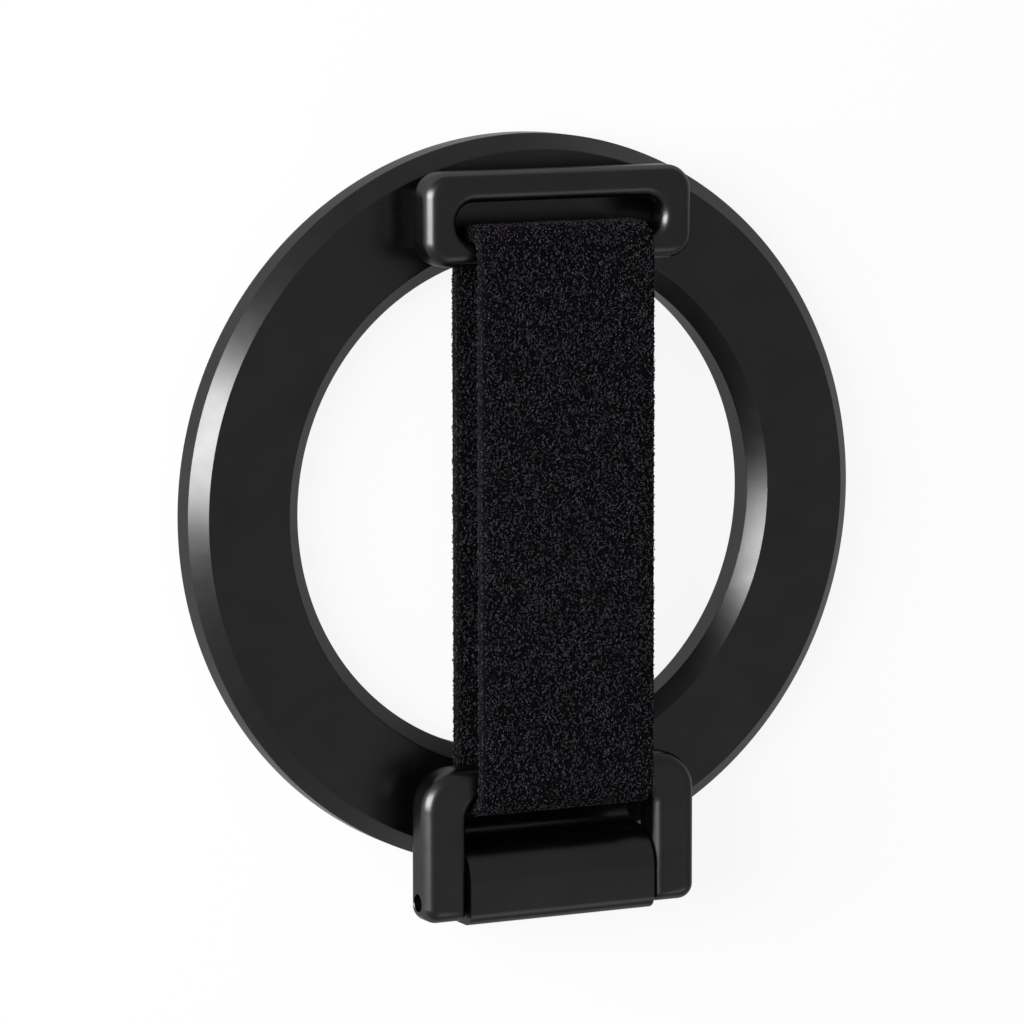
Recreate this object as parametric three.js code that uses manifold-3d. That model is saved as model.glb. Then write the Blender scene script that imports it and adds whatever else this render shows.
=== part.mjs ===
// Magnetic phone ring with an elastic finger strap, a fixed buckle above and a hinged bracket below.
// Millimetres. +Z points out of the ring's front, +Y from the hinge to the buckle, and Z = 0 is the
// underside of the back pad, on which the part lies.
import * as THREE from "three";
import { mergeVertices } from "three/addons/utils/BufferGeometryUtils.js";
import Module from "manifold-3d";

const wasm = await Module();
wasm.setup();

// Ring
const RING_DIAMETER = 56;
const HOLE_DIAMETER = 38.2;
const RING_THICKNESS = 3.2;
const OUTER_CHAMFER = 1.2;
const INNER_CHAMFER = 1.2;

// Magnets, shield and pad in the ring's back
const RIM_WALL = 0.8;
const MAGNET_COUNT = 16;
const MAGNET_WIDTH = 4.1;
const MAGNET_THICKNESS = 1.2;
const MAGNET_GAP = 0.5;
const SHIELD_THICKNESS = 0.5;
const CHANNEL_CLEARANCE = 0.2;
const STACK_CLEARANCE = 0.05;
const PAD_THICKNESS = 0.7;
const PAD_RECESS_DEPTH = 0.4;
const PAD_RIM = 0.5;
const PAD_CHAMFER = 0.15;

// Plates that carry the strap: the buckle and the bracket have one thickness and stand one height
const PLATE_THICKNESS = 3.1;
const PLATE_STANDOFF = 1.75;
const PLATE_FILLET = 1.0;
const WINDOW_FILLET = 0.8;

// Buckle, whose feet carry the slot's round ends down to the ring
const BUCKLE_RIM_MARGIN = 2.35;
const BUCKLE_CORNER_RADIUS = 1.9;
const UPPER_BAR = 2.3;
const LOWER_BAR = 1.8;
const SIDE_BAR = 2.55;
const SLOT_HEIGHT = 2.95;
const SLOT_END_MARGIN = 1.35;
const FOOT_INSET = 0.95;
const FOOT_WIDTH = 2.3;
const FOOT_LENGTH = 5.0;
const FOOT_CORNER_RADIUS = 0.5;

// Screws that hold the buckle's feet from inside the ring
const SCREW_DIAMETER = 1.0;
const SCREW_LENGTH = 3.6;
const SCREW_HEAD_DIAMETER = 2.0;
const SCREW_HEAD_HEIGHT = 0.5;
const SCREW_SOCKET_WIDTH = 0.7;
const SCREW_SOCKET_DEPTH = 0.35;
const SCREW_CLEARANCE = 0.05;

// Bracket
const BRACKET_WIDTH = 23.0;
const BRACKET_REACH = 10.1;
const BRACKET_BAR = 2.5;
const BRACKET_CORNER_RADIUS = 3.0;
const BRACKET_WINDOW_RADIUS = 1.35;
const LEG_END_MARGIN = 1.5;
const LEG_END_RADIUS = 1.2;
const LEG_INNER_END_RADIUS = 0.85;

// Hinge
const HINGE_OVERHANG = 1.2;
const KNUCKLE_WIDTH = 15.6;
const KNUCKLE_SIDE_GAP = 0.15;
const KNUCKLE_PROUD = 0.1;
const KNUCKLE_END_MARGIN = 1.9;
const KNUCKLE_DEPTH = 6.25;
const KNUCKLE_LOWER_RADIUS = 1.0;
const KNUCKLE_BACK_RADIUS = 2.6;
const KNUCKLE_UPPER_RADIUS = 3.0;
const KNUCKLE_BACK_STEP = 0.6;
const KNUCKLE_EDGE = 0.1;
const PIN_DIAMETER = 1.3;
const PIN_RECESS = 0.9;
const PIN_CHAMFER = 0.15;
const PIN_LEG_CLEARANCE = 0.03;
const PIN_KNUCKLE_CLEARANCE = 0.06;

// Strap
const STRAP_WIDTH = 14.5;
const STRAP_THICKNESS = 1.0;
const STRAP_CLEARANCE = 0.1;
const STRAP_EDGE = 0.25;

// Facets of the curved faces
const RING_FACETS = 120;
const INSERT_FACETS = 96;
const PIN_FACETS = 24;
const CORNER_STEPS = 8;
const FILLET_STEPS = 5;
const STRAP_STEPS = 6;
const MAGNET_STEPS = 5;
const THROUGH = 1;

// Heights
const ringRadius = RING_DIAMETER / 2;
const holeRadius = HOLE_DIAMETER / 2;
const ringBack = PAD_THICKNESS - PAD_RECESS_DEPTH;
const ringFront = ringBack + RING_THICKNESS;
const recessTop = ringBack + PAD_RECESS_DEPTH;
const magnetBottom = recessTop + STACK_CLEARANCE;
const shieldBottom = magnetBottom + MAGNET_THICKNESS + STACK_CLEARANCE;
const channelTop = shieldBottom + SHIELD_THICKNESS + STACK_CLEARANCE;
const plateBack = ringFront + PLATE_STANDOFF;
const plateMiddle = plateBack + PLATE_THICKNESS / 2;
const plateFront = plateBack + PLATE_THICKNESS;

// Radii of what the ring holds
const channelOuter = ringRadius - RIM_WALL;
const magnetOuter = channelOuter - CHANNEL_CLEARANCE;
const magnetInner = magnetOuter - MAGNET_WIDTH;
const channelInner = magnetInner - CHANNEL_CLEARANCE;
const padInner = holeRadius + PAD_RIM;
const padOuter = ringRadius - PAD_RIM;

// Buckle lines
const buckleTop = ringRadius - BUCKLE_RIM_MARGIN;
const slotTop = buckleTop - UPPER_BAR;
const slotBottom = slotTop - SLOT_HEIGHT;
const buckleBottom = slotBottom - LOWER_BAR;
const slotMiddle = (slotTop + slotBottom) / 2;
const slotHalfWidth = STRAP_WIDTH / 2 + SLOT_END_MARGIN;
const buckleHalfWidth = slotHalfWidth + SIDE_BAR;
const footOuter = buckleHalfWidth - FOOT_INSET;
const screwX = (slotHalfWidth + footOuter) / 2;

// Hinge and bracket lines
const hingeY = -(ringRadius + HINGE_OVERHANG);
const hingeZ = plateMiddle;
const legEnd = hingeY - LEG_END_MARGIN;
const bracketTop = hingeY + BRACKET_REACH;
const windowTop = bracketTop - BRACKET_BAR;
const windowHalfWidth = KNUCKLE_WIDTH / 2 + KNUCKLE_SIDE_GAP;
const knuckleEnd = hingeY - KNUCKLE_END_MARGIN;
const knuckleInner = knuckleEnd + KNUCKLE_DEPTH;
const knuckleFront = plateFront + KNUCKLE_PROUD;
const knuckleBack = ringBack + KNUCKLE_BACK_STEP;
const knuckleRoot = knuckleFront - KNUCKLE_UPPER_RADIUS - ringFront;

// The part's middle in Y, from the ring's top edge to the knuckle's lower end
const middleY = (ringRadius + knuckleEnd) / 2;

// Closed mesh to solid, with its shared vertices merged
function solidOf(geometry) {
  const bare = geometry.index ? geometry.toNonIndexed() : geometry.clone();
  for (const name of Object.keys(bare.attributes)) {
    if (name !== "position") {
      bare.deleteAttribute(name);
    }
  }
  const merged = mergeVertices(bare, 1e-5);
  const mesh = new wasm.Mesh({
    numProp: 3,
    vertProperties: new Float32Array(merged.attributes.position.array),
    triVerts: new Uint32Array(merged.index.array),
  });
  return new wasm.Manifold(mesh);
}

// Solid back to a mesh that three.js draws
function geometryOf(solid) {
  const mesh = solid.getMesh();
  const geometry = new THREE.BufferGeometry();
  geometry.setAttribute("position", new THREE.BufferAttribute(mesh.vertProperties, 3));
  geometry.setIndex(new THREE.BufferAttribute(mesh.triVerts, 1));
  geometry.computeVertexNormals();
  return geometry;
}

// Revolves an outline of [radius, height] points that starts and ends on the Z axis
function turned(outline, facets) {
  const points = outline.map(([radius, height]) => new THREE.Vector2(radius, height));
  return new THREE.LatheGeometry(points, facets).rotateX(Math.PI / 2);
}

// Revolves an outline that closes on itself, off the axis
function revolve(outline, facets) {
  return turned([...outline, outline[0]], facets);
}

// Extrudes a shape drawn in Y and Z along X, centred, with its end edges rounded off
function extrudeAlongX(shape, width, edge, steps) {
  const geometry = new THREE.ExtrudeGeometry(shape, {
    depth: width - 2 * edge,
    bevelEnabled: edge > 0,
    bevelThickness: edge,
    bevelSize: edge,
    bevelOffset: -edge,
    bevelSegments: 2,
    curveSegments: steps,
  });
  geometry.translate(0, 0, edge - width / 2);
  const xAxis = new THREE.Vector3(1, 0, 0);
  const yAxis = new THREE.Vector3(0, 1, 0);
  const zAxis = new THREE.Vector3(0, 0, 1);
  return geometry.applyMatrix4(new THREE.Matrix4().makeBasis(yAxis, zAxis, xAxis));
}

// Points of an arc, with both ends
function arc(centreX, centreY, radius, start, end, steps) {
  const points = [];
  for (let i = 0; i <= steps; i += 1) {
    const angle = start + ((end - start) * i) / steps;
    points.push([centreX + radius * Math.cos(angle), centreY + radius * Math.sin(angle)]);
  }
  return points;
}

// Rounded rectangle, anticlockwise, moved outwards by grow. radii holds the lower and upper corners
function roundedRectangle({ halfWidth, bottom, top, radii }, grow) {
  const right = halfWidth + grow;
  const low = bottom - grow;
  const high = top + grow;
  const lower = Math.max(radii.lower + grow, 0.02);
  const upper = Math.max(radii.upper + grow, 0.02);
  const quarter = Math.PI / 2;
  return [
    ...arc(right - lower, low + lower, lower, -quarter, 0, CORNER_STEPS),
    ...arc(right - upper, high - upper, upper, 0, quarter, CORNER_STEPS),
    ...arc(-right + upper, high - upper, upper, quarter, 2 * quarter, CORNER_STEPS),
    ...arc(-right + lower, low + lower, lower, 2 * quarter, 3 * quarter, CORNER_STEPS),
  ];
}

// Skins a stack of sections, each an outline of the same number of points at its own height
function loft(sections) {
  const count = sections[0].outline.length;
  const positions = [];
  for (const { outline, height } of sections) {
    for (const [x, y] of outline) {
      positions.push(x, y, height);
    }
  }
  const index = [];
  for (let s = 0; s + 1 < sections.length; s += 1) {
    for (let i = 0; i < count; i += 1) {
      const next = (i + 1) % count;
      const a = s * count + i;
      const b = s * count + next;
      index.push(a, b, b + count, a, b + count, a + count);
    }
  }
  const capOf = (outline) => {
    const contour = outline.map(([x, y]) => new THREE.Vector2(x, y));
    return THREE.ShapeUtils.triangulateShape(contour, []);
  };
  const lastRing = (sections.length - 1) * count;
  for (const [a, b, c] of capOf(sections[0].outline)) {
    index.push(a, c, b);
  }
  for (const [a, b, c] of capOf(sections[sections.length - 1].outline)) {
    index.push(lastRing + a, lastRing + b, lastRing + c);
  }
  const geometry = new THREE.BufferGeometry();
  geometry.setAttribute("position", new THREE.Float32BufferAttribute(positions, 3));
  geometry.setIndex(index);
  return geometry;
}

// Sections of a plate whose front and back edges are rounded by the fillet
function plateSections(outlineAt, fillet) {
  const sections = [];
  for (let i = 0; i <= FILLET_STEPS; i += 1) {
    const angle = (Math.PI / 2) * (i / FILLET_STEPS);
    const rise = fillet * (1 - Math.cos(angle));
    const inset = fillet * (1 - Math.sin(angle));
    sections.push({ outline: outlineAt(-inset), height: plateBack + rise });
  }
  const mirrored = sections.map(({ outline, height }) => ({
    outline,
    height: plateBack + plateFront - height,
  }));
  return [...sections, ...mirrored.reverse()];
}

// Sections of a window cut through the plate, whose mouths widen by the fillet
function windowSections(outlineAt, fillet) {
  const inside = plateSections((inset) => outlineAt(-inset), fillet);
  return [
    { outline: outlineAt(fillet), height: plateBack - THROUGH },
    ...inside,
    { outline: outlineAt(fillet), height: plateFront + THROUGH },
  ];
}

const satinBlack = { color: 0x1b1b1c, metalness: 0.55, roughness: 0.42 };
const steel = { color: 0x8d9094, metalness: 0.9, roughness: 0.35 };

function mesh(name, geometry, look) {
  const made = new THREE.Mesh(geometry, new THREE.MeshStandardMaterial(look));
  made.name = name;
  return made;
}

// Hinge knuckle, drawn in Y and Z: a block off the ring's lower edge, rounded at its front and back,
// whose inner side falls to the ring's face in an S-curve
function knuckleShape() {
  const quarter = Math.PI / 2;
  const lower = KNUCKLE_LOWER_RADIUS;
  const under = KNUCKLE_BACK_RADIUS;
  const upper = KNUCKLE_UPPER_RADIUS;
  const root = knuckleRoot;
  const shape = new THREE.Shape();
  shape.absarc(knuckleInner + root, ringFront + root, root, -quarter, -2 * quarter, true);
  shape.absarc(knuckleInner - upper, knuckleFront - upper, upper, 0, quarter, false);
  shape.lineTo(knuckleEnd + lower, knuckleFront);
  shape.absarc(knuckleEnd + lower, knuckleFront - lower, lower, quarter, 2 * quarter, false);
  shape.lineTo(knuckleEnd, knuckleBack + under);
  shape.absarc(knuckleEnd + under, knuckleBack + under, under, 2 * quarter, 3 * quarter, false);
  shape.lineTo(knuckleInner + root, knuckleBack);
  shape.closePath();
  return shape;
}

// Cylinder along X through the hinge axis
function hingeBore(radius, length) {
  const bore = new THREE.CylinderGeometry(radius, radius, length, PIN_FACETS);
  bore.rotateZ(Math.PI / 2);
  return bore.translate(0, hingeY, hingeZ);
}

// Outline of a screw with a countersunk head at the bottom, grown by a clearance for its hole
function screwOutline(clearance) {
  const shank = SCREW_DIAMETER / 2 + clearance;
  const head = SCREW_HEAD_DIAMETER / 2 + clearance;
  const length = SCREW_LENGTH + clearance;
  return [
    [0, 0],
    [head, 0],
    [shank, SCREW_HEAD_HEIGHT],
    [shank, length],
    [0, length],
  ];
}

function placedScrewHole(side) {
  const hole = turned(screwOutline(SCREW_CLEARANCE), PIN_FACETS);
  return solidOf(hole.translate(side * screwX, slotMiddle, channelTop));
}

// Pocket in the ring's back: a shallow recess for the pad over a deep channel for the magnets
function backPocket() {
  const below = ringBack - THROUGH;
  return revolve(
    [
      [padInner, below],
      [padOuter, below],
      [padOuter, recessTop],
      [channelOuter, recessTop],
      [channelOuter, channelTop],
      [channelInner, channelTop],
      [channelInner, recessTop],
      [padInner, recessTop],
    ],
    RING_FACETS,
  );
}

function ringBody() {
  const blank = revolve(
    [
      [holeRadius, ringBack],
      [ringRadius, ringBack],
      [ringRadius, ringFront - OUTER_CHAMFER],
      [ringRadius - OUTER_CHAMFER, ringFront],
      [holeRadius + INNER_CHAMFER, ringFront],
      [holeRadius, ringFront - INNER_CHAMFER],
    ],
    RING_FACETS,
  );
  const knuckle = extrudeAlongX(knuckleShape(), KNUCKLE_WIDTH, KNUCKLE_EDGE, CORNER_STEPS);
  const bore = hingeBore(PIN_DIAMETER / 2 + PIN_KNUCKLE_CLEARANCE, KNUCKLE_WIDTH + 2 * THROUGH);
  const body = solidOf(blank)
    .add(solidOf(knuckle))
    .subtract(solidOf(backPocket()))
    .subtract(solidOf(bore))
    .subtract(placedScrewHole(-1))
    .subtract(placedScrewHole(1));
  return mesh("ring_body", geometryOf(body), satinBlack);
}

function shieldRing() {
  const top = shieldBottom + SHIELD_THICKNESS;
  const band = revolve(
    [
      [magnetInner, shieldBottom],
      [magnetOuter, shieldBottom],
      [magnetOuter, top],
      [magnetInner, top],
    ],
    INSERT_FACETS,
  );
  return mesh("shield_ring", band, steel);
}

// One arc of the magnet ring, centred on the X axis before it is turned to its place
function magnet(index) {
  const pitch = (2 * Math.PI) / MAGNET_COUNT;
  const half = pitch / 2 - MAGNET_GAP / (magnetInner + magnetOuter);
  const shape = new THREE.Shape();
  shape.absarc(0, 0, magnetOuter, -half, half, false);
  shape.absarc(0, 0, magnetInner, half, -half, true);
  shape.closePath();
  const geometry = new THREE.ExtrudeGeometry(shape, {
    depth: MAGNET_THICKNESS,
    bevelEnabled: false,
    curveSegments: MAGNET_STEPS,
  });
  const piece = mesh(`magnet_${String(index + 1).padStart(2, "0")}`, geometry, steel);
  piece.position.z = magnetBottom;
  piece.rotation.z = pitch * (index + 0.5);
  return piece;
}

function backPad() {
  const inner = padInner + STACK_CLEARANCE;
  const outer = padOuter - STACK_CLEARANCE;
  const pad = revolve(
    [
      [inner + PAD_CHAMFER, 0],
      [outer - PAD_CHAMFER, 0],
      [outer, PAD_CHAMFER],
      [outer, recessTop],
      [inner, recessTop],
      [inner, PAD_CHAMFER],
    ],
    INSERT_FACETS,
  );
  return mesh("back_pad", pad, { color: 0x232324, metalness: 0, roughness: 0.75 });
}

// Outline of the buckle's slot, a rectangle with half-round ends
function slotOutline(grow) {
  const slot = {
    halfWidth: slotHalfWidth,
    bottom: slotBottom,
    top: slotTop,
    radii: { lower: SLOT_HEIGHT / 2, upper: SLOT_HEIGHT / 2 },
  };
  return roundedRectangle(slot, grow);
}

// Foot that lifts one end of the buckle off the ring and wraps round the slot's end
function buckleFoot(side) {
  const foot = {
    halfWidth: FOOT_WIDTH / 2,
    bottom: slotMiddle - FOOT_LENGTH / 2,
    top: slotMiddle + FOOT_LENGTH / 2,
    radii: { lower: FOOT_CORNER_RADIUS, upper: FOOT_CORNER_RADIUS },
  };
  const outline = roundedRectangle(foot, 0);
  const post = loft([
    { outline, height: ringFront },
    { outline, height: plateMiddle },
  ]);
  const slot = loft([
    { outline: slotOutline(0), height: ringFront - THROUGH },
    { outline: slotOutline(0), height: plateFront },
  ]);
  const placed = post.translate(side * (footOuter - FOOT_WIDTH / 2), 0, 0);
  return solidOf(placed).subtract(solidOf(slot));
}

function topBuckle() {
  const frame = {
    halfWidth: buckleHalfWidth,
    bottom: buckleBottom,
    top: buckleTop,
    radii: { lower: BUCKLE_CORNER_RADIUS, upper: BUCKLE_CORNER_RADIUS },
  };
  const plate = loft(plateSections((grow) => roundedRectangle(frame, grow), PLATE_FILLET));
  const buckle = solidOf(plate)
    .subtract(solidOf(loft(windowSections(slotOutline, WINDOW_FILLET))))
    .add(buckleFoot(-1))
    .add(buckleFoot(1))
    .subtract(placedScrewHole(-1))
    .subtract(placedScrewHole(1));
  return mesh("top_buckle", geometryOf(buckle), satinBlack);
}

function buckleScrew(name, side) {
  const socketRadius = SCREW_SOCKET_WIDTH / Math.sqrt(3);
  const height = SCREW_SOCKET_DEPTH + THROUGH;
  const socket = new THREE.CylinderGeometry(socketRadius, socketRadius, height, 6);
  socket.rotateX(Math.PI / 2).translate(0, 0, SCREW_SOCKET_DEPTH - height / 2);
  const screw = solidOf(turned(screwOutline(0), PIN_FACETS)).subtract(solidOf(socket));
  const geometry = geometryOf(screw);
  geometry.translate(side * screwX, slotMiddle, channelTop);
  return mesh(name, geometry, steel);
}

// Window between the bracket's legs, open at the bottom, where it rounds the legs' inner corners
function bracketWindow(grow) {
  const quarter = Math.PI / 2;
  const side = windowHalfWidth + grow;
  const top = windowTop + grow;
  const upper = BRACKET_WINDOW_RADIUS + grow;
  const lower = LEG_INNER_END_RADIUS - grow;
  const turn = windowHalfWidth + LEG_INNER_END_RADIUS;
  const level = legEnd + LEG_INNER_END_RADIUS;
  const below = legEnd - THROUGH;
  return [
    [-turn, below],
    [turn, below],
    ...arc(turn, level, lower, 3 * quarter, 2 * quarter, CORNER_STEPS),
    ...arc(side - upper, top - upper, upper, 0, quarter, CORNER_STEPS),
    ...arc(upper - side, top - upper, upper, quarter, 2 * quarter, CORNER_STEPS),
    ...arc(-turn, level, lower, 0, -quarter, CORNER_STEPS),
  ];
}

function hingeBracket() {
  const frame = {
    halfWidth: BRACKET_WIDTH / 2,
    bottom: legEnd,
    top: bracketTop,
    radii: { lower: LEG_END_RADIUS, upper: BRACKET_CORNER_RADIUS },
  };
  const plate = loft(plateSections((grow) => roundedRectangle(frame, grow), PLATE_FILLET));
  const window = loft(windowSections(bracketWindow, WINDOW_FILLET));
  const bore = hingeBore(PIN_DIAMETER / 2 + PIN_LEG_CLEARANCE, BRACKET_WIDTH + 2 * THROUGH);
  const bracket = solidOf(plate).subtract(solidOf(window)).subtract(solidOf(bore));
  return mesh("hinge_bracket", geometryOf(bracket), satinBlack);
}

function hingePin() {
  const radius = PIN_DIAMETER / 2;
  const end = BRACKET_WIDTH / 2 - PIN_RECESS;
  const pin = turned(
    [
      [0, -end],
      [radius - PIN_CHAMFER, -end],
      [radius, PIN_CHAMFER - end],
      [radius, end - PIN_CHAMFER],
      [radius - PIN_CHAMFER, end],
      [0, end],
    ],
    PIN_FACETS,
  );
  pin.rotateY(Math.PI / 2).rotateX(Math.PI / PIN_FACETS);
  return mesh("hinge_pin", pin.translate(0, hingeY, hingeZ), steel);
}

// Rounded rectangle in Y and Z, for the strap's outside and its inside
function loopPath(path, low, high, back, front, radius) {
  const quarter = Math.PI / 2;
  path.absarc(high - radius, front - radius, radius, 0, quarter, false);
  path.absarc(low + radius, front - radius, radius, quarter, 2 * quarter, false);
  path.absarc(low + radius, back + radius, radius, 2 * quarter, 3 * quarter, false);
  path.absarc(high - radius, back + radius, radius, 3 * quarter, 4 * quarter, false);
  path.closePath();
  return path;
}

// Closed band over the fronts of the two bars and back behind them
function strap() {
  const low = windowTop - STRAP_CLEARANCE;
  const high = slotBottom + STRAP_CLEARANCE;
  const back = plateBack - STRAP_CLEARANCE;
  const front = plateFront + STRAP_CLEARANCE;
  const inner = WINDOW_FILLET + STRAP_CLEARANCE;
  const t = STRAP_THICKNESS;
  const band = loopPath(new THREE.Shape(), low - t, high + t, back - t, front + t, inner + t);
  band.holes.push(loopPath(new THREE.Path(), low, high, back, front, inner));
  const geometry = extrudeAlongX(band, STRAP_WIDTH, STRAP_EDGE, STRAP_STEPS);
  return mesh("strap", geometry, { color: 0x121114, metalness: 0, roughness: 0.95 });
}

const fingerStrap = new THREE.Group();
fingerStrap.add(ringBody(), shieldRing(), backPad());
for (let index = 0; index < MAGNET_COUNT; index += 1) {
  fingerStrap.add(magnet(index));
}
fingerStrap.add(topBuckle());
fingerStrap.add(buckleScrew("buckle_screw_left", -1), buckleScrew("buckle_screw_right", 1));
fingerStrap.add(hingeBracket(), hingePin(), strap());
fingerStrap.position.y = -middleY;

export default fingerStrap;
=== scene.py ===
"""Looks of the phone finger strap: satin black ring, buckle and bracket, and a knitted strap."""

import math

import bpy
import numpy as np
from mathutils import Matrix, Vector, noise

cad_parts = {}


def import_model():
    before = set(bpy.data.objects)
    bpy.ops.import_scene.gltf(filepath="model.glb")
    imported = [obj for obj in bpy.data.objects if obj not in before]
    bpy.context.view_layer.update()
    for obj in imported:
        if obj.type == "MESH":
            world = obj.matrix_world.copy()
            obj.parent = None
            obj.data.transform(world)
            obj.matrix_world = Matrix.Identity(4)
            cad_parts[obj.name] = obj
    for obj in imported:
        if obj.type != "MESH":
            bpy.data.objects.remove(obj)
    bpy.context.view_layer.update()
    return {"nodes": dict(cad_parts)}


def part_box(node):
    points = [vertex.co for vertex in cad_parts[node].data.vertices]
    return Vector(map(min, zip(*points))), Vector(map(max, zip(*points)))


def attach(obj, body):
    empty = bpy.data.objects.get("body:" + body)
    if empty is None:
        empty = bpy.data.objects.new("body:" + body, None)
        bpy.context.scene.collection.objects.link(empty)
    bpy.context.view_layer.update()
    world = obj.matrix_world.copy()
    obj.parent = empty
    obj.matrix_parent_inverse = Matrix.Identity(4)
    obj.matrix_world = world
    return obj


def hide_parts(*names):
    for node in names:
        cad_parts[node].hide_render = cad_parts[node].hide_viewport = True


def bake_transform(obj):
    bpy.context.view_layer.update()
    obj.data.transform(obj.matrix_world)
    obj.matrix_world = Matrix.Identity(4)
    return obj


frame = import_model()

MM = 0.001
QUARTER = math.pi / 2
TURN = 2 * math.pi

# Ring, from the frame and its sizes
RING_LOW, RING_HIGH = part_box("ring_body")
RING_RADIUS = (RING_HIGH.x - RING_LOW.x) / 2
RING_Y = RING_HIGH.y - RING_RADIUS
RING_BACK = RING_LOW.z
RING_FRONT = RING_BACK + 3.2 * MM
HOLE_RADIUS = 19.1 * MM
CHAMFER = 1.2 * MM
RING_EDGE = 0.12 * MM
RING_STEPS = 256

# Pad and channel in the ring's back
STACK_CLEARANCE = 0.05 * MM
PAD_LOW, PAD_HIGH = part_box("back_pad")
PAD_RIM = 0.5 * MM
PAD_EDGE = 0.15 * MM
PAD_STEPS = 192
RECESS_TOP = PAD_HIGH.z
CHANNEL_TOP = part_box("shield_ring")[1].z + STACK_CLEARANCE
CHANNEL_OUTER = RING_RADIUS - 0.8 * MM
CHANNEL_INNER = CHANNEL_OUTER - 4.5 * MM

# Buckle and bracket, two plates of one thickness
BUCKLE_LOW, BUCKLE_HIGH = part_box("top_buckle")
BRACKET_LOW, BRACKET_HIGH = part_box("hinge_bracket")
PLATE_BACK = BRACKET_LOW.z
PLATE_FRONT = BRACKET_HIGH.z
PLATE_FILLET = 1.0 * MM
WINDOW_FILLET = 0.8 * MM
BUCKLE_CORNER = 1.9 * MM
SLOT_HALF_WIDTH = 8.6 * MM
SLOT_TOP = BUCKLE_HIGH.y - 2.3 * MM
SLOT_BOTTOM = SLOT_TOP - 2.95 * MM
SLOT_MIDDLE = (SLOT_TOP + SLOT_BOTTOM) / 2
FOOT_OUTER = BUCKLE_HIGH.x - 0.95 * MM
FOOT_INNER = FOOT_OUTER - 2.3 * MM
FOOT_HALF_LENGTH = 2.5 * MM
FOOT_CORNER = 0.5 * MM
FOOT_TOP = PLATE_BACK + 1.5 * MM
BRACKET_CORNER = 3.0 * MM
LEG_CORNER = 1.2 * MM
LEG_INNER_CORNER = 0.85 * MM
WINDOW_CORNER = 1.35 * MM
WINDOW_TOP = BRACKET_HIGH.y - 2.5 * MM
WINDOW_HALF_WIDTH = 7.95 * MM

# Hinge
PIN_LOW, PIN_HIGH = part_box("hinge_pin")
HINGE_Y = (PIN_LOW.y + PIN_HIGH.y) / 2
HINGE_Z = (PIN_LOW.z + PIN_HIGH.z) / 2
PIN_RADIUS = (PIN_HIGH.z - PIN_LOW.z) / 2
KNUCKLE_BORE = PIN_RADIUS + 0.06 * MM
LEG_BORE = PIN_RADIUS + 0.03 * MM
BORE_MOUTH = 0.06 * MM
BORE_STEPS = 48
KNUCKLE_HALF_WIDTH = 7.8 * MM
KNUCKLE_END = RING_LOW.y
KNUCKLE_INNER = KNUCKLE_END + 6.25 * MM
KNUCKLE_FRONT = RING_HIGH.z
KNUCKLE_BACK = RING_BACK + 0.6 * MM
KNUCKLE_UPPER = 3.0 * MM
KNUCKLE_LOWER = 1.0 * MM
KNUCKLE_UNDER = 2.6 * MM
KNUCKLE_ROOT = KNUCKLE_FRONT - KNUCKLE_UPPER - RING_FRONT
KNUCKLE_EDGE = 0.05 * MM

# Cutters run past what they cut, and joined blocks sink a little into their neighbour
KNUCKLE_BORE_REACH = 9 * MM
LEG_BORE_REACH = 12 * MM
PAST = 1 * MM
SINK = 0.01 * MM

# Strap
STRAP_LOW, STRAP_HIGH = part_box("strap")
STRAP_THICKNESS = 1.0 * MM
STRAP_WIDTH = STRAP_HIGH.x - STRAP_LOW.x
STRAP_MIDDLE = (STRAP_LOW.z + STRAP_HIGH.z) / 2
STRAP_CORNER = 1.9 * MM
STRAP_EDGE = 0.28 * MM
BAND_STEP = 0.2 * MM
SECTION_STEP = 0.22 * MM

# Lumps of the knit as (size, height) in millimetres, and how much of them the inside shows
LUMPS = ((0.9, 0.035), (0.32, 0.04))
INSIDE_SHARE = 0.3

# Fibres in millimetres: half length, half thickness, and how high they lift off a face and an edge
FIBRE_REACH = (0.07, 0.19)
FIBRE_THICKNESS = (0.026, 0.056)
FACE_LIFT = 0.10
EDGE_LIFT = 0.03
FIBRE_BOW = 0.6
FIBRE_BEND = 0.45
PILE_STEP = 0.05 * MM
FACE_MARGIN = 0.3 * MM
EDGE_MARGIN = 0.2 * MM
EDGE_SINK = 0.04 * MM

# Stage
FLOOR_WHITE = 0.9
FLOOR_GREY = 0.85
FLOOR_HALF_SIZE = 3.0
WORLD_STRENGTH = 0.3


# Outlines

def rounded(points, radii, steps=8):
    """A closed outline with each corner turned into an arc of its radius."""
    outline = []
    for i, corner in enumerate(points):
        p = Vector(corner)
        if radii[i] <= 0:
            outline.append(p)
            continue
        to_last = (Vector(points[i - 1]) - p).normalized()
        to_next = (Vector(points[(i + 1) % len(points)]) - p).normalized()
        half = to_last.angle(to_next) / 2
        centre = p + (to_last + to_next).normalized() * (radii[i] / math.sin(half))
        start = p + to_last * (radii[i] / math.tan(half)) - centre
        end = p + to_next * (radii[i] / math.tan(half)) - centre
        sweep = math.atan2(start.x * end.y - start.y * end.x, start.dot(end))
        for k in range(steps + 1):
            turn = sweep * k / steps
            outline.append(centre + Matrix.Rotation(turn, 2) @ start)
    return outline


def rectangle(left, right, bottom, top):
    """The corners of a rectangle, anticlockwise from the lower left."""
    return [(left, bottom), (right, bottom), (right, top), (left, top)]


def grown(outline, distance):
    """The outline moved outwards by a distance; it runs anticlockwise."""
    moved = []
    for i, p in enumerate(outline):
        into = (p - outline[i - 1]).normalized()
        out = (outline[(i + 1) % len(outline)] - p).normalized()
        first = Vector((into.y, -into.x))
        second = Vector((out.y, -out.x))
        moved.append(p + (first + second) * (distance / (1 + first.dot(second))))
    return moved


# Meshes

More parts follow.
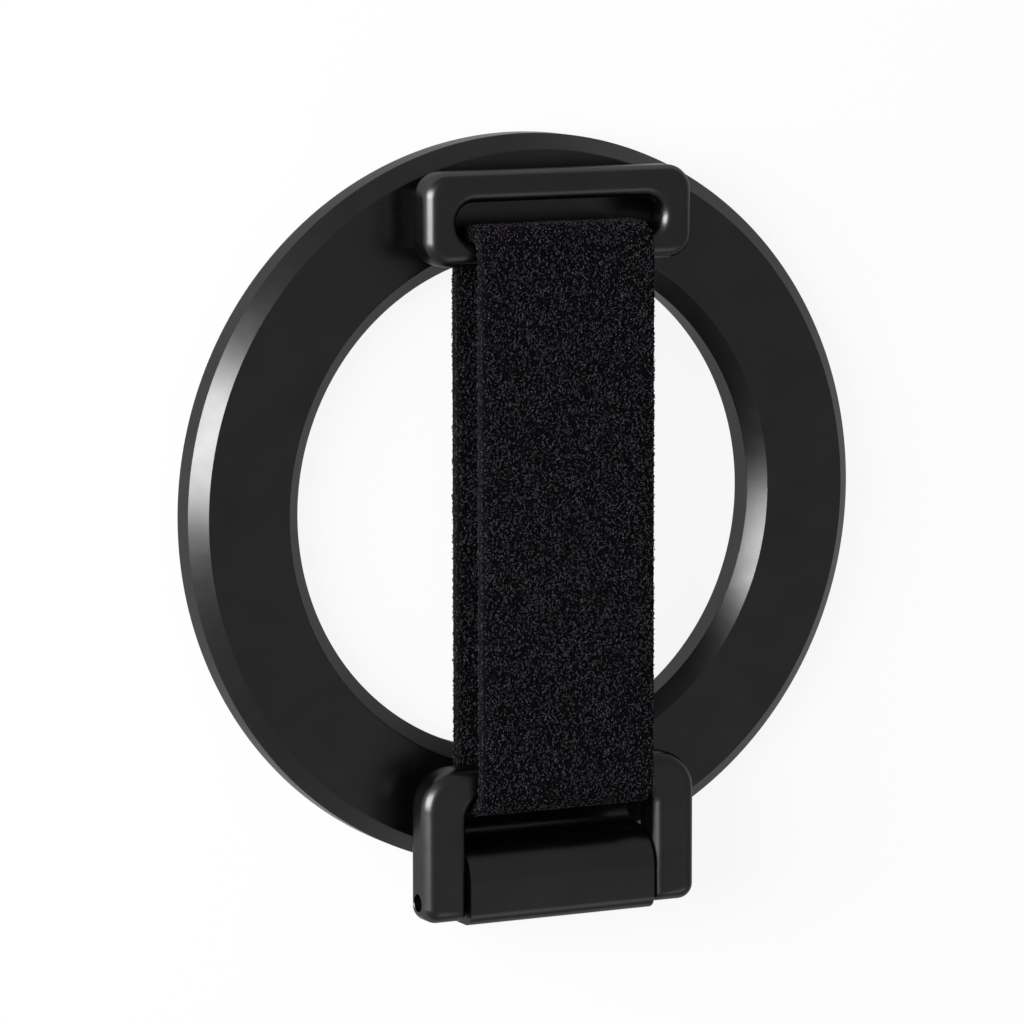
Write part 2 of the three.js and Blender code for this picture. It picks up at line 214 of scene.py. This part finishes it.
def new_piece(name, verts, faces):
    """A new object in the scene, made of these points and faces."""
    data = bpy.data.meshes.new(name)
    data.from_pydata([tuple(v) for v in verts], [], faces)
    data.validate()
    piece = bpy.data.objects.new(name, data)
    bpy.context.scene.collection.objects.link(piece)
    return piece


def revolved(name, outline, steps=RING_STEPS):
    """A closed outline of (radius, height) turned round the ring's axis."""
    count = len(outline)
    verts = []
    for s in range(steps):
        angle = TURN * s / steps
        for radius, height in outline:
            verts.append((radius * math.cos(angle), RING_Y + radius * math.sin(angle), height))
    faces = []
    for s in range(steps):
        near = s * count
        far = (s + 1) % steps * count
        for i in range(count):
            j = (i + 1) % count
            faces.append((near + i, far + i, far + j, near + j))
    return new_piece(name, verts, faces)


def lofted(name, sections):
    """Skin over a stack of closed sections of one length, capped at both ends."""
    count = len(sections[0])
    verts = [v for section in sections for v in section]
    faces = [tuple(range(count))[::-1]]
    for s in range(len(sections) - 1):
        for i in range(count):
            j = (i + 1) % count
            low = s * count
            high = low + count
            faces.append((low + i, low + j, high + j, high + i))
    faces.append(tuple(range(len(verts) - count, len(verts))))
    return new_piece(name, verts, faces)


def level(outline, height):
    """A section drawn in X and Y, at one height."""
    return [(p.x, p.y, height) for p in outline]


def across(outline, x):
    """A section drawn in Y and Z, at one X."""
    return [(x, p.x, p.y) for p in outline]


def fillet_steps(radius, steps=8):
    """(inset, rise) pairs of a quarter-round edge."""
    angles = [QUARTER * k / steps for k in range(steps + 1)]
    return [(radius * (1 - math.sin(a)), radius * (1 - math.cos(a))) for a in angles]


def plate(name, outline):
    """A plate between the two faces, with its outer edges rounded."""
    edge = fillet_steps(PLATE_FILLET)
    back = [level(grown(outline, -inset), PLATE_BACK + rise) for inset, rise in edge]
    front = [level(grown(outline, -inset), PLATE_FRONT - rise) for inset, rise in reversed(edge)]
    return lofted(name, back + front)


def window_cutter(outline):
    """The space of a window in a plate, with mouths that widen by the fillet."""
    edge = fillet_steps(WINDOW_FILLET)
    mouth = grown(outline, WINDOW_FILLET)
    back = [level(grown(outline, inset), PLATE_BACK + rise) for inset, rise in edge]
    front = [level(grown(outline, inset), PLATE_FRONT - rise) for inset, rise in reversed(edge)]
    below = level(mouth, PLATE_BACK - PAST)
    above = level(mouth, PLATE_FRONT + PAST)
    return lofted("cutter", [below] + back + front + [above])


def bore_cutter(radius, reach, mouth=0.0):
    """Cylinder along the hinge axis, which a mouth opens into a cone at each side of the bracket."""
    side = BRACKET_HIGH.x
    stations = [(-reach, radius), (reach, radius)]
    if mouth > 0:
        wide = radius + mouth + reach - side
        stations = [(-reach, wide), (mouth - side, radius), (side - mouth, radius), (reach, wide)]
    angles = [TURN * k / BORE_STEPS for k in range(BORE_STEPS)]
    sections = []
    for x, r in stations:
        sections.append([(x, HINGE_Y + r * math.cos(a), HINGE_Z + r * math.sin(a)) for a in angles])
    return lofted("cutter", sections)


def combine(piece, other, operation):
    """Joins or cuts one closed mesh with another, which is used up."""
    modifier = piece.modifiers.new("combine", "BOOLEAN")
    modifier.object = other
    modifier.operation = operation
    modifier.solver = "EXACT"
    graph = bpy.context.evaluated_depsgraph_get()
    made = bpy.data.meshes.new_from_object(piece.evaluated_get(graph))
    piece.modifiers.clear()
    piece.data = made
    bpy.data.objects.remove(other)
    return piece


def smooth(piece, angle=32):
    """Smooth shading that keeps flat faces flat."""
    piece.data.shade_smooth()
    piece.data.set_sharp_from_angle(angle=math.radians(angle))
    modifier = piece.modifiers.new("normals", "WEIGHTED_NORMAL")
    modifier.keep_sharp = True
    modifier.weight = 100
    return piece


# Materials

def shader(name):
    """A new material, its node tree, its principled shader and object coordinates in metres."""
    material = bpy.data.materials.new(name)
    material.use_nodes = True
    tree = material.node_tree
    here = tree.nodes.new("ShaderNodeTexCoord").outputs["Object"]
    return material, tree, tree.nodes["Principled BSDF"], here


def grain(tree, vector, size, detail=2.0, roughness=0.5):
    """Noise whose blotches are about this size in metres."""
    texture = tree.nodes.new("ShaderNodeTexNoise")
    texture.inputs["Scale"].default_value = 1 / size
    texture.inputs["Detail"].default_value = detail
    texture.inputs["Roughness"].default_value = roughness
    tree.links.new(vector, texture.inputs["Vector"])
    return texture.outputs["Fac"]


def ramp(tree, value, low, high):
    """Maps a value to colours, between a low and a high (position, colour)."""
    node = tree.nodes.new("ShaderNodeValToRGB")
    for element, (position, colour) in zip(node.color_ramp.elements, (low, high)):
        element.position = position
        element.color = (*colour, 1)
    tree.links.new(value, node.inputs["Fac"])
    return node.outputs["Color"]


def grey(value):
    """A neutral colour."""
    return (value, value, value)


def bump(tree, height, distance, strength, under=None):
    """A normal bumped by a height, over another normal if one is given."""
    node = tree.nodes.new("ShaderNodeBump")
    node.inputs["Distance"].default_value = distance
    node.inputs["Strength"].default_value = strength
    tree.links.new(height, node.inputs["Height"])
    if under is not None:
        tree.links.new(under, node.inputs["Normal"])
    return node.outputs["Normal"]


def satin(name, base, rough, edge, grain_size, depth):
    """Metal finish: fine blasted grain, faint cloudiness, uneven gloss, dulled at glancing angles."""
    material, tree, principled, here = shader(name)
    cloud = grain(tree, here, size=4 * MM, detail=3)
    colour = ramp(tree, cloud, (0.3, grey(base[0])), (0.7, grey(base[1])))
    tree.links.new(colour, principled.inputs["Base Color"])
    patch = grain(tree, here, size=1.6 * MM, detail=5, roughness=0.6)
    gloss = ramp(tree, patch, (0.3, grey(rough[0])), (0.72, grey(rough[1])))
    tree.links.new(gloss, principled.inputs["Roughness"])
    blast = bump(tree, grain(tree, here, size=grain_size, detail=3), distance=depth, strength=0.5)
    tree.links.new(blast, principled.inputs["Normal"])
    principled.inputs["Metallic"].default_value = 1.0
    principled.inputs["Specular Tint"].default_value = (edge, edge, edge, 1)
    return material


def rubber(name):
    """Matt black silicone with a fine skin."""
    material, tree, principled, here = shader(name)
    cloud = grain(tree, here, size=3 * MM, detail=4)
    colour = ramp(tree, cloud, (0.3, (0.014, 0.014, 0.015)), (0.75, (0.024, 0.024, 0.025)))
    tree.links.new(colour, principled.inputs["Base Color"])
    patch = grain(tree, here, size=0.8 * MM, detail=4)
    gloss = ramp(tree, patch, (0.3, grey(0.55)), (0.7, grey(0.72)))
    tree.links.new(gloss, principled.inputs["Roughness"])
    pores = grain(tree, here, size=0.12 * MM, detail=4, roughness=0.65)
    skin = bump(tree, pores, distance=0.02 * MM, strength=0.7)
    tree.links.new(skin, principled.inputs["Normal"])
    return material


def bent(tree, vector, size, amount):
    """Coordinates pushed about by noise, so that a pattern drawn on them isn't regular."""
    swirl = tree.nodes.new("ShaderNodeTexNoise")
    swirl.inputs["Scale"].default_value = 1 / size
    tree.links.new(vector, swirl.inputs["Vector"])
    shrink = tree.nodes.new("ShaderNodeVectorMath")
    shrink.operation = "SCALE"
    shrink.inputs["Scale"].default_value = amount
    tree.links.new(swirl.outputs["Color"], shrink.inputs["Vector"])
    push = tree.nodes.new("ShaderNodeVectorMath")
    push.operation = "ADD"
    tree.links.new(vector, push.inputs[0])
    tree.links.new(shrink.outputs["Vector"], push.inputs[1])
    return push.outputs["Vector"]


def knit(name, dark, light, depth):
    """Black elastic knit: uneven loops, and noise that paints purplish grey highlights into the colour where
    loops would catch the lamp.
    """
    material, tree, principled, here = shader(name)
    loops = tree.nodes.new("ShaderNodeTexVoronoi")
    loops.inputs["Scale"].default_value = 1 / (0.34 * MM)
    loops.inputs["Randomness"].default_value = 1.0
    tree.links.new(bent(tree, here, size=0.6 * MM, amount=0.5 * MM), loops.inputs["Vector"])
    fuzz = grain(tree, here, size=0.16 * MM, detail=4, roughness=0.7)
    # The light end of this ramp is painted highlight: lighter specks standing in for glinting fibres.
    colour = ramp(tree, fuzz, (0.40, dark), (0.66, light))
    tree.links.new(colour, principled.inputs["Base Color"])
    principled.inputs["Roughness"].default_value = 0.85
    principled.inputs["Sheen Weight"].default_value = 0.01
    principled.inputs["Sheen Roughness"].default_value = 0.4
    principled.inputs["Sheen Tint"].default_value = (0.6, 0.56, 0.66, 1)
    principled.inputs["Specular IOR Level"].default_value = 0.04
    ground = bump(tree, loops.outputs["Distance"], distance=depth, strength=0.8)
    fluff = bump(tree, fuzz, distance=0.6 * depth, strength=0.9, under=ground)
    tree.links.new(fluff, principled.inputs["Normal"])
    return material


# Rigid pieces

def knuckle():
    """The ring's hinge knuckle: rounded front and back, and swept into the ring's face."""
    root_end = KNUCKLE_INNER + KNUCKLE_ROOT + 0.2 * MM
    root_level = RING_FRONT - SINK
    corners = [
        (KNUCKLE_END, KNUCKLE_BACK),
        (root_end, KNUCKLE_BACK),
        (root_end, root_level),
        (KNUCKLE_INNER, root_level),
        (KNUCKLE_INNER, KNUCKLE_FRONT),
        (KNUCKLE_END, KNUCKLE_FRONT),
    ]
    radii = [KNUCKLE_UNDER, 0, 0, KNUCKLE_ROOT, KNUCKLE_UPPER - SINK, KNUCKLE_LOWER]
    outline = rounded(corners, radii, 14)
    edge = fillet_steps(KNUCKLE_EDGE, 2)
    left = [across(grown(outline, -inset), rise - KNUCKLE_HALF_WIDTH) for inset, rise in edge]
    right = [across(grown(outline, -inset), KNUCKLE_HALF_WIDTH - rise) for inset, rise in reversed(edge)]
    return lofted("knuckle", left + right)


def ring():
    """The chamfered ring with its knuckle, and the recess and channel in its back."""
    corners = [
        (HOLE_RADIUS, RING_BACK, RING_EDGE),
        (HOLE_RADIUS + PAD_RIM, RING_BACK, 0),
        (HOLE_RADIUS + PAD_RIM, RECESS_TOP, 0),
        (CHANNEL_INNER, RECESS_TOP, 0),
        (CHANNEL_INNER, CHANNEL_TOP, 0),
        (CHANNEL_OUTER, CHANNEL_TOP, 0),
        (CHANNEL_OUTER, RECESS_TOP, 0),
        (RING_RADIUS - PAD_RIM, RECESS_TOP, 0),
        (RING_RADIUS - PAD_RIM, RING_BACK, 0),
        (RING_RADIUS, RING_BACK, RING_EDGE),
        (RING_RADIUS, RING_FRONT - CHAMFER, RING_EDGE),
        (RING_RADIUS - CHAMFER, RING_FRONT, RING_EDGE),
        (HOLE_RADIUS + CHAMFER, RING_FRONT, RING_EDGE),
        (HOLE_RADIUS, RING_FRONT - CHAMFER, RING_EDGE),
    ]
    outline = rounded([c[:2] for c in corners], [c[2] for c in corners], 4)
    channel = rectangle(CHANNEL_INNER, CHANNEL_OUTER, RECESS_TOP - PAST, CHANNEL_TOP)
    block = combine(knuckle(), revolved("cutter", channel), "DIFFERENCE")
    body = combine(revolved("ring", outline), block, "UNION")
    return combine(body, bore_cutter(KNUCKLE_BORE, KNUCKLE_BORE_REACH), "DIFFERENCE")


def buckle():
    """The slotted plate, and the feet that carry the slot's round ends down to the ring."""
    frame_corners = rectangle(-BUCKLE_HIGH.x, BUCKLE_HIGH.x, BUCKLE_LOW.y, BUCKLE_HIGH.y)
    body = plate("buckle", rounded(frame_corners, [BUCKLE_CORNER] * 4, 12))
    slot_corners = rectangle(-SLOT_HALF_WIDTH, SLOT_HALF_WIDTH, SLOT_BOTTOM, SLOT_TOP)
    slot = rounded(slot_corners, [(SLOT_TOP - SLOT_BOTTOM) / 2 - SINK] * 4, 12)
    body = combine(body, window_cutter(slot), "DIFFERENCE")
    bottom = SLOT_MIDDLE - FOOT_HALF_LENGTH
    top = SLOT_MIDDLE + FOOT_HALF_LENGTH
    for left, right in ((-FOOT_OUTER, -FOOT_INNER), (FOOT_INNER, FOOT_OUTER)):
        outline = rounded(rectangle(left, right, bottom, top), [FOOT_CORNER] * 4, 6)
        foot = lofted("foot", [level(outline, RING_FRONT), level(outline, FOOT_TOP)])
        shaft = lofted("cutter", [level(slot, RING_FRONT - PAST), level(slot, PLATE_FRONT)])
        body = combine(body, combine(foot, shaft, "DIFFERENCE"), "UNION")
    return body


def bracket():
    """The hinged plate: a bar that carries the strap, and two legs beside the knuckle."""
    bottom = BRACKET_LOW.y
    corners = rectangle(-BRACKET_HIGH.x, BRACKET_HIGH.x, bottom, BRACKET_HIGH.y)
    body = plate("bracket", rounded(corners, [LEG_CORNER] * 2 + [BRACKET_CORNER] * 2, 12))
    flare = WINDOW_HALF_WIDTH + 2 * PAST
    flare_top = bottom - 0.3 * MM
    window = [
        (-flare, bottom - 2 * PAST),
        (flare, bottom - 2 * PAST),
        (flare, flare_top),
        (WINDOW_HALF_WIDTH, bottom),
        (WINDOW_HALF_WIDTH, WINDOW_TOP),
        (-WINDOW_HALF_WIDTH, WINDOW_TOP),
        (-WINDOW_HALF_WIDTH, bottom),
        (-flare, flare_top),
    ]
    radii = [0, 0, 0, LEG_INNER_CORNER, WINDOW_CORNER, WINDOW_CORNER, LEG_INNER_CORNER, 0]
    body = combine(body, window_cutter(rounded(window, radii, 10)), "DIFFERENCE")
    return combine(body, bore_cutter(LEG_BORE, LEG_BORE_REACH, BORE_MOUTH), "DIFFERENCE")


def pad():
    """The flat pad in the ring's back, with the edges of its underside rounded."""
    inner = HOLE_RADIUS + PAD_RIM + STACK_CLEARANCE
    corners = rectangle(inner, PAD_HIGH.x, PAD_LOW.z, PAD_HIGH.z)
    return revolved("pad", rounded(corners, [PAD_EDGE, PAD_EDGE, 0, 0], 4), PAD_STEPS)


# Strap

def strap_path(step):
    """Points and outward normals in Y and Z along the middle of the band, and its length."""
    inset = STRAP_THICKNESS / 2
    low_y, high_y = STRAP_LOW.y + inset, STRAP_HIGH.y - inset
    low_z, high_z = STRAP_LOW.z + inset, STRAP_HIGH.z - inset
    outline = rounded(rectangle(low_y, high_y, low_z, high_z), [STRAP_CORNER - inset] * 4, 24)
    points = np.array([tuple(p) for p in outline])
    closed = np.vstack([points, points[:1]])
    along = np.concatenate([[0], np.cumsum(np.linalg.norm(np.diff(closed, axis=0), axis=1))])
    count = round(along[-1] / step)
    at = np.linspace(0, along[-1], count, endpoint=False)
    path = np.stack([np.interp(at, along, closed[:, k]) for k in (0, 1)], 1)
    tangent = np.roll(path, -1, 0) - np.roll(path, 1, 0)
    tangent /= np.linalg.norm(tangent, axis=1)[:, None]
    normal = np.stack([tangent[:, 1], -tangent[:, 0]], 1)
    return path, normal, along[-1]


def band_section():
    """The band's cross-section: (across, outward) points, anticlockwise, with rounded edges."""
    half = STRAP_WIDTH / 2
    deep = STRAP_THICKNESS / 2
    outline = rounded(rectangle(-half, half, -deep, deep), [STRAP_EDGE] * 4, 4)
    section = []
    for p, q in zip(outline, outline[1:] + outline[:1]):
        pieces = max(1, round((q - p).length / SECTION_STEP))
        section += [p.lerp(q, k / pieces) for k in range(pieces)]
    return np.array([tuple(p) for p in section])


def strap():
    """The closed band with a lumpy surface, and its length."""
    path, normal, length = strap_path(BAND_STEP)
    section = band_section()
    verts = []
    for (y, z), (ny, nz) in zip(path, normal):
        for x, out in section:
            p = Vector((x, y + ny * out, z + nz * out))
            lump = sum(noise.noise(p / (size * MM)) * height for size, height in LUMPS)
            share = 1 if out > 0 else -INSIDE_SHARE
            verts.append(p + Vector((0, ny, nz)) * (lump * MM * share))
    count = len(section)
    rows = len(path)
    faces = []
    for r in range(rows):
        near = r * count
        far = (r + 1) % rows * count
        for i in range(count):
            j = (i + 1) % count
            faces.append((near + i, near + j, far + j, far + i))
    piece = new_piece("knit_strap", verts, faces)
    piece.data.shade_smooth()
    return piece, length


def tufts(name, roots, ups, alongs, height, random):
    """Short fat fibres up to a height, each a bent spindle with three sides that lies on the knit."""
    count = len(roots)
    reach = random.uniform(*FIBRE_REACH, (count, 1)) * MM
    bow = random.uniform(-FIBRE_BOW, FIBRE_BOW, (count, 1)) * reach
    lift = random.uniform(0.1, 1.0, (count, 1)) * height * MM
    thick = random.uniform(*FIBRE_THICKNESS, (count, 1)) * MM
    asides = np.cross(ups, alongs)
    verts = np.empty((count, 8, 3))
    verts[:, 0] = roots - alongs * reach
    verts[:, 7] = roots + alongs * reach
    for first, t in ((1, -FIBRE_BEND), (4, FIBRE_BEND)):
        middle = roots + alongs * (t * reach) + asides * bow + ups * lift
        for k in range(3):
            turn = TURN * k / 3
            verts[:, first + k] = middle + (asides * math.cos(turn) + ups * math.sin(turn)) * thick
    pattern = []
    for k in range(3):
        j = (k + 1) % 3
        pattern += [(0, 1 + j, 1 + k), (1 + k, 1 + j, 4 + j, 4 + k), (4 + k, 4 + j, 7)]
    faces = [tuple(8 * i + v for v in face) for i in range(count) for face in pattern]
    piece = new_piece(name, verts.reshape(-1, 3), faces)
    piece.data.shade_smooth()
    return piece


def pile(name, density, seed, where):
    """The fibres on one part of the strap: the outside or inside of a layer, or the side edges."""
    random = np.random.default_rng(seed)
    path, normal = strap_path(PILE_STEP)[:2]
    rows = np.arange(len(path))
    if where != "edges":
        rows = np.nonzero((path[:, 1] > STRAP_MIDDLE) == ("front" in where))[0]
    width = STRAP_THICKNESS * 2 if where == "edges" else STRAP_WIDTH
    count = int(len(rows) * PILE_STEP * width / (MM * MM) * density)
    rows = random.choice(rows, count)
    spots = np.column_stack([np.zeros(count), path[rows]])
    out = np.column_stack([np.zeros(count), normal[rows]])
    run = np.column_stack([np.zeros(count), -normal[rows, 1], normal[rows, 0]])
    heading = random.uniform(0, TURN, (count, 1))
    share = random.uniform(-0.5, 0.5, (count, 1))
    over = np.array([[1.0, 0.0, 0.0]])
    if where == "edges":
        ups = np.where(random.uniform(0, 1, (count, 1)) > 0.5, 1.0, -1.0) * over
        roots = spots + out * share * (STRAP_THICKNESS - EDGE_MARGIN) + ups * (STRAP_WIDTH / 2 - EDGE_SINK)
        alongs = run * np.cos(heading) + out * np.sin(heading)
        return tufts(name, roots, ups, alongs, EDGE_LIFT, random)
    ups = -out if "inside" in where else out
    roots = spots + over * share * (STRAP_WIDTH - FACE_MARGIN) + ups * (STRAP_THICKNESS / 2)
    alongs = over * np.cos(heading) + run * np.sin(heading)
    return tufts(name, roots, ups, alongs, FACE_LIFT, random)


# Stage

def camera():
    """The photograph's view: from the upper left of the ring's front."""
    turn = math.radians(26.63)
    rise = math.radians(7.556)
    roll = math.radians(-0.093)
    distance = 422.61 * MM
    aside, upward = -0.213 * MM, -1.033 * MM
    back = Vector((-math.sin(turn) * math.cos(rise), math.sin(rise), math.cos(turn) * math.cos(rise)))
    right = Vector((math.cos(turn), 0, math.sin(turn)))
    up = back.cross(right)
    right, up = (
        right * math.cos(roll) + up * math.sin(roll),
        up * math.cos(roll) - right * math.sin(roll),
    )
    data = bpy.data.cameras.new("camera")
    data.lens = 194.72
    data.sensor_width = 36
    data.clip_start = 0.01
    made = bpy.data.objects.new("camera", data)
    bpy.context.scene.collection.objects.link(made)
    eye = Vector((0, RING_Y, RING_BACK)) + back * distance + right * aside + up * upward
    axes = Matrix((right, up, back)).transposed()
    made.matrix_world = Matrix.Translation(eye) @ axes.to_4x4()
    bpy.context.scene.camera = made


def arithmetic(tree, operation, first, second):
    """A math node's result; the second value is a socket or a number."""
    node = tree.nodes.new("ShaderNodeMath")
    node.operation = operation
    tree.links.new(first, node.inputs[0])
    if isinstance(second, float):
        node.inputs[1].default_value = second
    else:
        tree.links.new(second, node.inputs[1])
    return node.outputs["Value"]


def floor():
    """A floor that takes shadows, and that looks white to the camera, to gloss and through glass."""
    half = FLOOR_HALF_SIZE
    corners = [(x, y, 0) for x, y in rectangle(-half, half, -half, half)]
    piece = new_piece("floor", corners, [(0, 1, 2, 3)])
    material = bpy.data.materials.new("floor")
    material.use_nodes = True
    tree = material.node_tree
    tree.nodes.clear()
    diffuse = tree.nodes.new("ShaderNodeBsdfDiffuse")
    diffuse.inputs["Color"].default_value = (*grey(FLOOR_GREY), 1)
    white = tree.nodes.new("ShaderNodeEmission")
    path = tree.nodes.new("ShaderNodeLightPath")
    mirrored = arithmetic(tree, "MAXIMUM", path.outputs["Is Glossy Ray"], path.outputs["Is Transmission Ray"])
    seen = arithmetic(tree, "MAXIMUM", path.outputs["Is Camera Ray"], mirrored)
    mix = tree.nodes.new("ShaderNodeMixShader")
    tree.links.new(arithmetic(tree, "MULTIPLY", seen, FLOOR_WHITE), mix.inputs["Fac"])
    tree.links.new(diffuse.outputs["BSDF"], mix.inputs[1])
    tree.links.new(white.outputs["Emission"], mix.inputs[2])
    output = tree.nodes.new("ShaderNodeOutputMaterial")
    tree.links.new(mix.outputs["Shader"], output.inputs["Surface"])
    piece.data.materials.append(material)


def softbox(name, at, width, height, power):
    """A rectangular lamp aimed at the middle of the part."""
    data = bpy.data.lights.new(name, "AREA")
    data.shape = "RECTANGLE"
    data.size = width
    data.size_y = height
    data.energy = power
    lamp = bpy.data.objects.new(name, data)
    bpy.context.scene.collection.objects.link(lamp)
    lamp.location = at
    lamp.rotation_euler = Vector(at).to_track_quat("Z", "Y").to_euler()


def world():
    """An even grey surround."""
    made = bpy.data.worlds.new("studio")
    made.use_nodes = True
    bpy.context.scene.world = made
    background = made.node_tree.nodes["Background"]
    background.inputs["Color"].default_value = (1, 1, 1, 1)
    background.inputs["Strength"].default_value = WORLD_STRENGTH


def dress(piece, material, body, slot, *nodes):
    """Gives a piece its material, the body that it rides and the nodes that it replaces; the slot is not
    used.
    """
    piece.data.materials.clear()
    piece.data.materials.append(material)
    if nodes:
        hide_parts(*nodes)
    if body:
        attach(piece, body)


def paint_nodes(names, material):
    """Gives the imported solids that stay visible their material."""
    for name in names:
        data = frame["nodes"][name].data
        data.materials.clear()
        data.materials.append(material)


anodised = satin("anodised_black", (0.056, 0.064), (0.27, 0.32), 0.55, 0.09 * MM, 0.002 * MM)
coated = satin("coated_black", (0.056, 0.064), (0.28, 0.33), 0.55, 0.12 * MM, 0.003 * MM)
steel = satin("bare_steel", (0.38, 0.46), (0.25, 0.4), 1.0, 0.1 * MM, 0.004 * MM)
plating = satin("magnet_plating", (0.52, 0.6), (0.15, 0.28), 1.0, 0.2 * MM, 0.003 * MM)
blackened = satin("pin_black", (0.03, 0.05), (0.35, 0.5), 0.5, 0.08 * MM, 0.004 * MM)
silicone = rubber("pad_rubber")
# The light ends of these greys are painted highlights; the fibres are painted far lighter than the band so
# that they read as glints.
knitted = knit("strap_knit", (0.0008, 0.0007, 0.001), (0.004, 0.0035, 0.0045), 0.12 * MM)
fibre = knit("strap_fibre", (0.004, 0.0035, 0.0045), (0.066, 0.058, 0.068), 0.01 * MM)

camera()
dress(smooth(ring()), anodised, "base", "anodised_black", "ring_body")
dress(smooth(buckle()), coated, "base", "coated_black", "top_buckle")
dress(smooth(bracket()), coated, "bracket", "coated_black", "hinge_bracket")
dress(smooth(pad()), silicone, "base", "pad_rubber", "back_pad")
band, band_length = strap()
dress(band, knitted, None, "strap_knit", "strap")
piles = [
    pile("strap_pile_front", 25, 3, "front"),
    pile("strap_pile_back", 25, 4, "back"),
    pile("strap_pile_inside_front", 11, 5, "front inside"),
    pile("strap_pile_inside_back", 22, 6, "back inside"),
    pile("strap_pile_edges", 30, 7, "edges"),
]
for fluff in piles:
    dress(fluff, fibre, None, "strap_knit")
for soft in [band] + piles:
    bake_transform(soft)

paint_nodes([f"magnet_{i:02d}" for i in range(1, 17)], plating)
paint_nodes(["shield_ring", "buckle_screw_left", "buckle_screw_right"], steel)
paint_nodes(["hinge_pin"], blackened)

floor()
world()
softbox("key_left", at=(-0.405, 0.085, 0.185), width=0.235, height=0.40, power=4.5)
softbox("fill_low", at=(0.222, -0.30, 0.333), width=0.25, height=0.20, power=0.12)
bpy.context.scene.view_settings.view_transform = "Standard"
